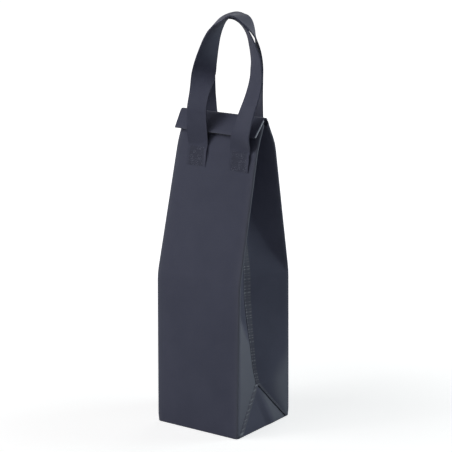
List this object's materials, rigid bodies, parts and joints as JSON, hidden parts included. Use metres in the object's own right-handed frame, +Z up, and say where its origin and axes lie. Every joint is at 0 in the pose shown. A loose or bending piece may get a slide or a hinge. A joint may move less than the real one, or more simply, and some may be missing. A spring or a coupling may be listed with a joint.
{
  "type": "cooler bag",
  "caption": "Tall insulated bag for one bottle: welded non-woven laminate, tucked side gussets, fold-over flap and two strap handles.",
  "frame": {"origin": "middle of the underside of the base", "axes": "+X to the right seen from the front, the front faces -Y, +Z up"},
  "size_m": [0.1198, 0.0968, 0.4429],
  "materials": {
    "fabric": "matt non-woven polypropylene, dark slate blue",
    "lining": "foam faced with satin aluminised film",
    "weld": "pressed flat and dotted by the welding wheel",
    "strap": "matt non-woven strap",
    "closure": "hook and loop tape"
  },
  "bodies": {
    "box": {"base_fabric": "fabric", "base_lining": "lining", "front_fabric_lower": "fabric", "back_fabric_lower": "fabric", "front_lining_lower": "lining", "back_lining_lower": "lining", "left_base_seam_front": "weld", "left_base_seam_back": "weld", "right_base_seam_front": "weld", "right_base_seam_back": "weld", "left_side_seam": "weld", "right_side_seam": "weld", "left_gusset_front_fabric": "fabric", "left_gusset_front_lining": "lining", "left_gusset_back_fabric": "fabric", "left_gusset_back_lining": "lining", "right_gusset_front_fabric": "fabric", "right_gusset_front_lining": "lining", "right_gusset_back_fabric": "fabric", "right_gusset_back_lining": "lining"},
    "front_panel": {"front_fabric_upper": "fabric", "front_lining_upper": "lining", "hook_strip": "closure", "front_strap_end_left": "strap", "front_strap_end_right": "strap"},
    "back_panel": {"back_fabric_upper": "fabric", "back_lining_upper": "lining", "back_strap_end_left": "strap", "back_strap_end_right": "strap"},
    "flap": {"flap_fabric": "fabric", "flap_lining": "lining", "loop_strip": "closure"},
    "front_strap": {"front_handle": "strap"},
    "back_strap": {"back_handle": "strap"}
  },
  "joints": [
    {"name": "flap_fold", "type": "hinge", "parent": "back_panel", "child": "flap", "pos_m": [0, 0.0005, 0.3366], "axis": [-1, 0, 0], "range_deg": [0, 140]},
    {"name": "front_open", "type": "hinge", "parent": "box", "child": "front_panel", "pos_m": [0, -0.045, 0.165], "axis": [1, 0, 0], "range_deg": [0, 5], "deforming": ["left_gusset_front_fabric", "left_gusset_front_lining", "right_gusset_front_fabric", "right_gusset_front_lining", "left_side_seam"]},
    {"name": "back_open", "type": "hinge", "parent": "box", "child": "back_panel", "pos_m": [0, 0.0462, 0.165], "axis": [-1, 0, 0], "range_deg": [0, 8], "deforming": ["left_gusset_back_fabric", "left_gusset_back_lining", "right_gusset_back_fabric", "right_gusset_back_lining", "right_side_seam"]},
    {"name": "front_handle_swing", "type": "hinge", "parent": "front_panel", "child": "front_strap", "pos_m": [0, -0.01695, 0.3047], "axis": [1, 0, 0], "range_deg": [0, 119]},
    {"name": "back_handle_swing", "type": "hinge", "parent": "back_panel", "child": "back_strap", "pos_m": [0, 0.02181, 0.3047], "axis": [-1, 0, 0], "range_deg": [0, 150]}
  ],
  "couplings": [
    {"joint": "front_open", "follows": "flap_fold", "ratio": 0.0355},
    {"joint": "back_open", "follows": "flap_fold", "ratio": 0.0565},
    {"joint": "front_handle_swing", "follows": "flap_fold", "ratio": 0.85}
  ]
}
